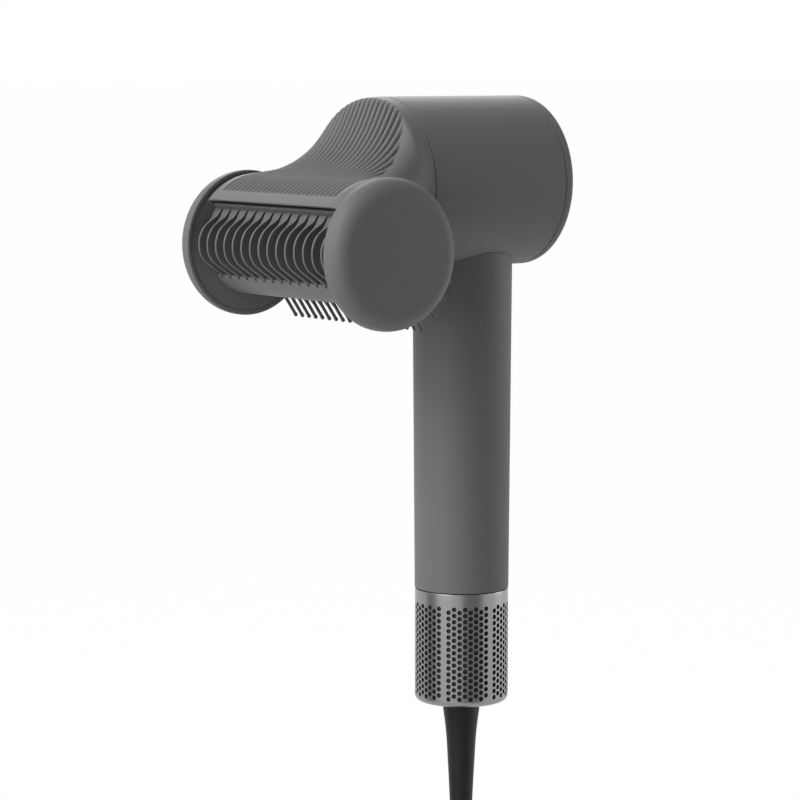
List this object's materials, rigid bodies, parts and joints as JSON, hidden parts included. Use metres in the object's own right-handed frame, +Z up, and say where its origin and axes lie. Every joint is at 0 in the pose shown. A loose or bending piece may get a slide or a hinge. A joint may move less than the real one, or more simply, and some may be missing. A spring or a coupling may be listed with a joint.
{
  "type": "hair dryer",
  "caption": "Hand-held hair dryer with a drum head, a round grip with a perforated inlet cage at its foot, and a wide roller-shaped comb nozzle.",
  "frame": {"origin": "the middle of the round grip, on its axis, where a hand or a holder takes it", "axes": "+Z up along the grip to the head, -Y the way the air leaves the head, X along the nozzle's barrel"},
  "size_m": [0.1138, 0.1357, 0.4889],
  "materials": {
    "grey_plastic": "fine-grained soft-touch ABS, dark grey",
    "black_plastic": "moulded glass-filled nylon, black",
    "panel_plastic": "smooth ABS, near black",
    "bristle_nylon": "nylon, dark grey",
    "steel": "turned steel",
    "mica": "pressed mica sheet",
    "heater_wire": "nickel-chrome wire",
    "lens": "clear acrylic light guide",
    "circuit_board": "solder-masked glass-epoxy",
    "rubber": "moulded silicone rubber",
    "relief_rubber": "moulded soft PVC, black",
    "aluminium": "machined",
    "copper": "enamelled copper wire",
    "cord_jacket": "extruded PVC, black",
    "tie_strap": "woven nylon hook-and-loop strap",
    "plug_plastic": "moulded PVC, black",
    "plated_brass": "nickel-plated brass",
    "cage_metal": "satin gunmetal grey over perforated stainless steel",
    "mesh_steel": "fine woven steel mesh, dark"
  },
  "bodies": {
    "dryer": {"head_shell": "grey_plastic", "rear_cap": "grey_plastic", "outlet_seat": "steel", "outlet_grille": "black_plastic", "ion_emitter": "black_plastic", "heater_sleeve": "mica", "heater_frame": "mica", "heater_windings": "heater_wire", "thermal_cutout": "steel", "air_guide": "black_plastic", "handle_tube": "grey_plastic", "inner_chassis": "black_plastic", "control_plate": "panel_plastic", "indicator_lenses": "lens", "control_board": "circuit_board", "board_parts": "black_plastic", "motor_shroud": "black_plastic", "motor_mounts": "rubber", "motor_frame": "aluminium", "motor_bridge": "aluminium", "motor_bearings": "steel", "motor_stator": "steel", "stator_windings": "copper", "tail_frame": "black_plastic", "tail_screws": "steel", "strain_relief": "relief_rubber", "cord": "cord_jacket", "cord_coil": "cord_jacket", "cord_tie": "tie_strap", "cord_tail": "cord_jacket", "plug_body": "plug_plastic", "plug_blades": "plated_brass"},
    "fan": {"impeller": "aluminium", "motor_shaft": "steel", "rotor_magnet": "steel"},
    "cage": {"inlet_cage": "cage_metal", "filter_screen": "mesh_steel"},
    "switch": {"power_slider": "grey_plastic"},
    "heat": {"heat_button": "grey_plastic"},
    "speed": {"speed_button": "grey_plastic"},
    "nozzle": {"nozzle_shell": "grey_plastic", "coupling_ring": "black_plastic", "nozzle_magnets": "steel", "comb_insert": "grey_plastic", "comb_teeth": "grey_plastic", "lower_shell": "grey_plastic", "bristle_rows": "bristle_nylon", "side_disc_left": "grey_plastic", "side_disc_right": "grey_plastic"}
  },
  "joints": [
    {"name": "nozzle_turn", "type": "hinge", "parent": "dryer", "child": "nozzle", "pos_m": [0, -0.0404, 0.102], "axis": [0, -1, 0], "continuous": true},
    {"name": "cage_pull", "type": "slide", "parent": "dryer", "child": "cage", "axis": [0, 0, -1], "range_m": [0, 0.05]},
    {"name": "fan_spin", "type": "hinge", "parent": "dryer", "child": "fan", "pos_m": [0, 0, -0.03], "axis": [0, 0, 1], "continuous": true},
    {"name": "power_slide", "type": "slide", "parent": "dryer", "child": "switch", "axis": [0, 0, 1], "range_m": [0, 0.005]},
    {"name": "heat_press", "type": "slide", "parent": "dryer", "child": "heat", "axis": [0, -1, 0], "range_m": [0, 0.0008], "stiffness_N_per_m": 1200, "springref_m": -0.0004},
    {"name": "speed_press", "type": "slide", "parent": "dryer", "child": "speed", "axis": [0, -1, 0], "range_m": [0, 0.0008], "stiffness_N_per_m": 1200, "springref_m": -0.0004}
  ]
}
